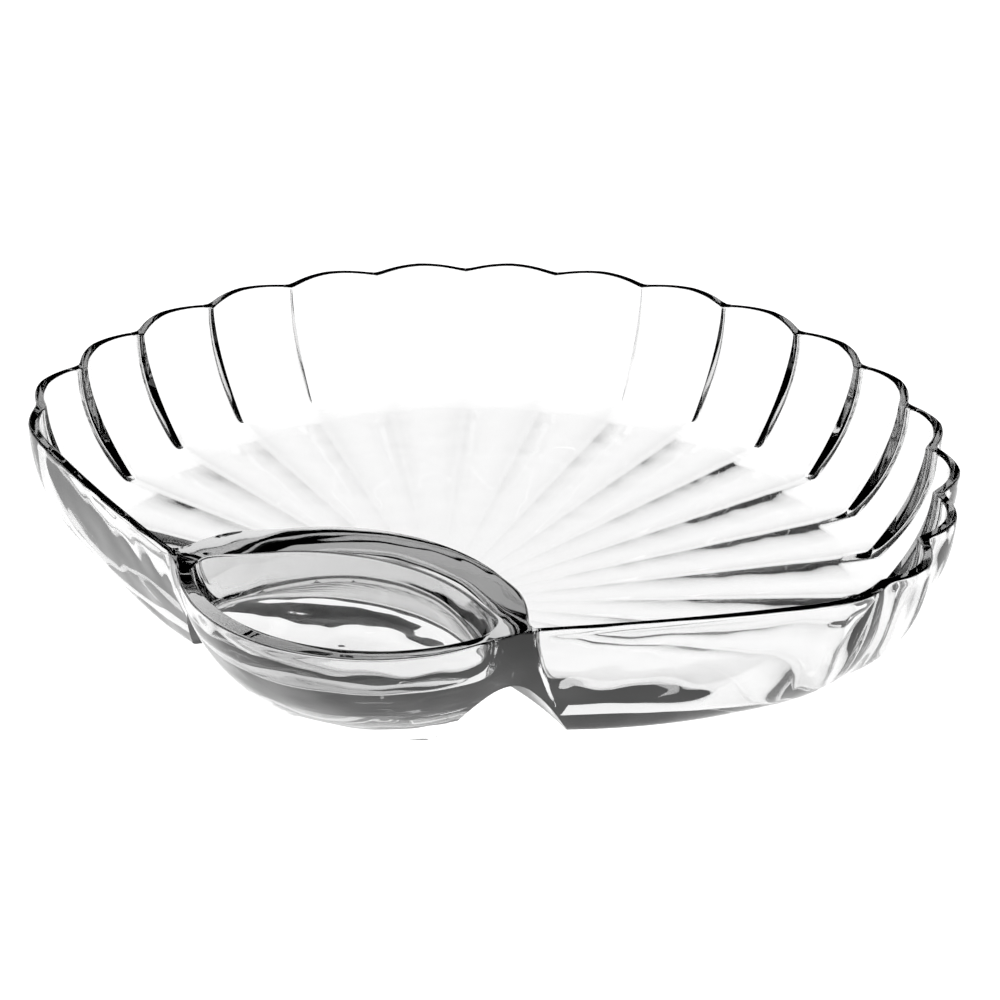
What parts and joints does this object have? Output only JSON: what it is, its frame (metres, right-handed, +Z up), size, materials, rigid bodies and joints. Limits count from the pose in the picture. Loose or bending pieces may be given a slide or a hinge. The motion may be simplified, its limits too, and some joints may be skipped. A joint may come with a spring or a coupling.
{
  "type": "chip and dip server",
  "caption": "Clear pressed-glass serving dish shaped like a scallop shell, with a fluted bowl for chips and a built-in dip cup at the front behind a curved divider.",
  "frame": {"origin": "centre of the bowl's rim circle, dropped to the table plane the dish stands on", "axes": "+Z up, -Y toward the dip cup, the dish is symmetric about the plane X = 0"},
  "size_m": [0.3206, 0.3037, 0.0465],
  "materials": {
    "clear_glass": "colourless pressed soda-lime glass, fire polished"
  },
  "bodies": {
    "root": {"chip_floor": "clear_glass", "scalloped_wall_back": "clear_glass", "scalloped_wall_left": "clear_glass", "scalloped_wall_right": "clear_glass", "side_panel_left": "clear_glass", "side_panel_right": "clear_glass", "divider": "clear_glass", "dip_cup": "clear_glass"}
  },
  "joints": []
}
